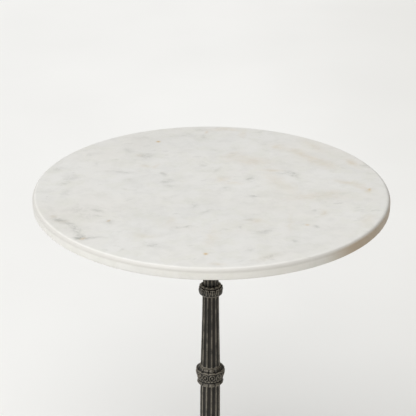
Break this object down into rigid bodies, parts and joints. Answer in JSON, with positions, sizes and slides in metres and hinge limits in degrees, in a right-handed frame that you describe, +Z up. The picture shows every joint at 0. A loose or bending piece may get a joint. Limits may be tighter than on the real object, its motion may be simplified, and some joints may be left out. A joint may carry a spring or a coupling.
{
  "type": "bistro table",
  "caption": "Round marble bistro table on a fluted, ornamented cast-iron column with a tripod base and levelling glides.",
  "frame": {"origin": "on the floor, in the middle under the column", "axes": "+Z up along the column, +Y from the front to the back, where one leg points, +X to the right"},
  "size_m": [0.61, 0.61, 0.74],
  "materials": {
    "marble": "honed",
    "cast_iron": "satin, worn",
    "steel": "zinc plated",
    "brass": "turned",
    "rubber": "matte",
    "plastic": "matte"
  },
  "bodies": {
    "table": {"marble_top": "marble", "top_spider": "cast_iron", "neck_casting": "cast_iron", "upper_knop": "cast_iron", "upper_shaft": "cast_iron", "middle_collar": "cast_iron", "lower_shaft": "cast_iron", "base_vase": "cast_iron", "leg_hub": "cast_iron", "hub_plate": "cast_iron", "leg_1": "cast_iron", "leg_2": "cast_iron", "leg_3": "cast_iron", "tie_rod": "steel", "rod_nut_top": "steel", "rod_washer_top": "steel", "rod_nut_bottom": "steel", "rod_washer_bottom": "steel", "top_screw_1": "steel", "top_screw_2": "steel", "top_screw_3": "steel", "top_screw_4": "steel", "screw_washer_1": "steel", "screw_washer_2": "steel", "screw_washer_3": "steel", "screw_washer_4": "steel", "leg_bolt_1_lower": "steel", "leg_washer_1_lower": "steel", "leg_bolt_1_upper": "steel", "leg_washer_1_upper": "steel", "leg_bolt_2_lower": "steel", "leg_washer_2_lower": "steel", "leg_bolt_2_upper": "steel", "leg_washer_2_upper": "steel", "leg_bolt_3_lower": "steel", "leg_washer_3_lower": "steel", "leg_bolt_3_upper": "steel", "leg_washer_3_upper": "steel", "insert_1": "brass", "insert_2": "brass", "insert_3": "brass", "insert_4": "brass", "arm_pad_1": "rubber", "arm_pad_2": "rubber", "arm_pad_3": "rubber", "arm_pad_4": "rubber"},
    "pad_1": {"glide_pad_1": "plastic"},
    "stud_1": {"glide_stud_1": "steel"},
    "pad_2": {"glide_pad_2": "plastic"},
    "stud_2": {"glide_stud_2": "steel"},
    "pad_3": {"glide_pad_3": "plastic"},
    "stud_3": {"glide_stud_3": "steel"}
  },
  "joints": [
    {"name": "glide_1_travel", "type": "slide", "parent": "table", "child": "pad_1", "axis": [0, 0, 1], "range_m": [-0.006, 0.004]},
    {"name": "glide_1_turn", "type": "hinge", "parent": "pad_1", "child": "stud_1", "pos_m": [0, 0.237, 0], "axis": [0, 0, 1], "range_deg": [-1729, 1153]},
    {"name": "glide_2_travel", "type": "slide", "parent": "table", "child": "pad_2", "axis": [0, 0, 1], "range_m": [-0.006, 0.004]},
    {"name": "glide_2_turn", "type": "hinge", "parent": "pad_2", "child": "stud_2", "pos_m": [-0.20525, -0.1185, 0], "axis": [0, 0, 1], "range_deg": [-1729, 1153]},
    {"name": "glide_3_travel", "type": "slide", "parent": "table", "child": "pad_3", "axis": [0, 0, 1], "range_m": [-0.006, 0.004]},
    {"name": "glide_3_turn", "type": "hinge", "parent": "pad_3", "child": "stud_3", "pos_m": [0.20525, -0.1185, 0], "axis": [0, 0, 1], "range_deg": [-1729, 1153]}
  ],
  "couplings": [
    {"joint": "glide_1_turn", "follows": "glide_1_travel", "rad_per_m": 5026.5},
    {"joint": "glide_2_turn", "follows": "glide_2_travel", "rad_per_m": 5026.5},
    {"joint": "glide_3_turn", "follows": "glide_3_travel", "rad_per_m": 5026.5}
  ]
}
